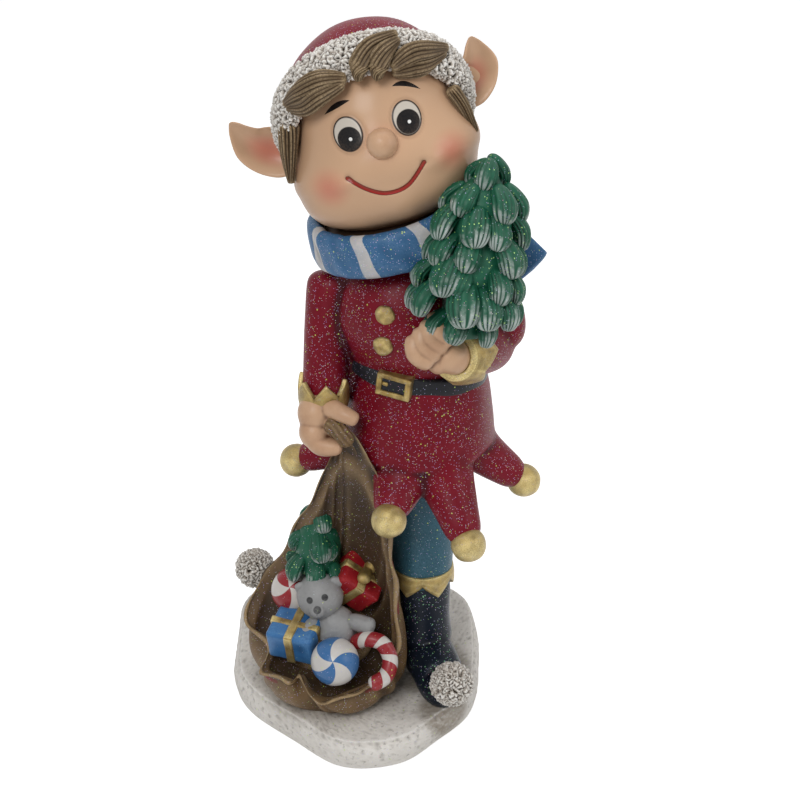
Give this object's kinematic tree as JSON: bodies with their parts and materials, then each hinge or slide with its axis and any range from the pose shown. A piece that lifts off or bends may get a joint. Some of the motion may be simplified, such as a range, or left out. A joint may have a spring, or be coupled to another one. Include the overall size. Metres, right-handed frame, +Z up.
{
  "type": "christmas elf figurine",
  "caption": "Cast and hand-painted Christmas elf on a snow base, holding a small fir tree and an open sack of toys.",
  "frame": {"origin": "middle of the figurine's outer box, on the flat underside of the snow base", "axes": "+Z up to the top of the hat, -Y the way the elf faces, +X to the viewer's right, on the fir tree's side"},
  "size_m": [0.2108, 0.1902, 0.4691],
  "materials": {
    "crimson_coat_paint": "satin crimson paint with fine glitter",
    "skin_paint": "satin skin paint with brown wash and rosy cheeks",
    "hair_paint": "dry-brushed brown strands",
    "fur_paint": "nubbly off-white with brown wash in the hollows",
    "scarf_paint": "satin blue and white stripes with fine glitter",
    "trouser_paint": "satin teal-blue paint",
    "boot_paint": "dark navy paint with green glitter",
    "belt_paint": "satin black paint",
    "gold_paint": "brushed-on antique gold paint",
    "fir_paint": "green boughs with white dry-brushed tips and glitter",
    "sack_paint": "golden-brown wash, lighter on the rolled rim",
    "toy_paint": "gloss red, blue, white and grey toy paints",
    "snow_paint": "rough off-white snow paint with iridescent glitter"
  },
  "bodies": {
    "root": {"elf_figurine": "crimson_coat_paint"}
  },
  "joints": []
}
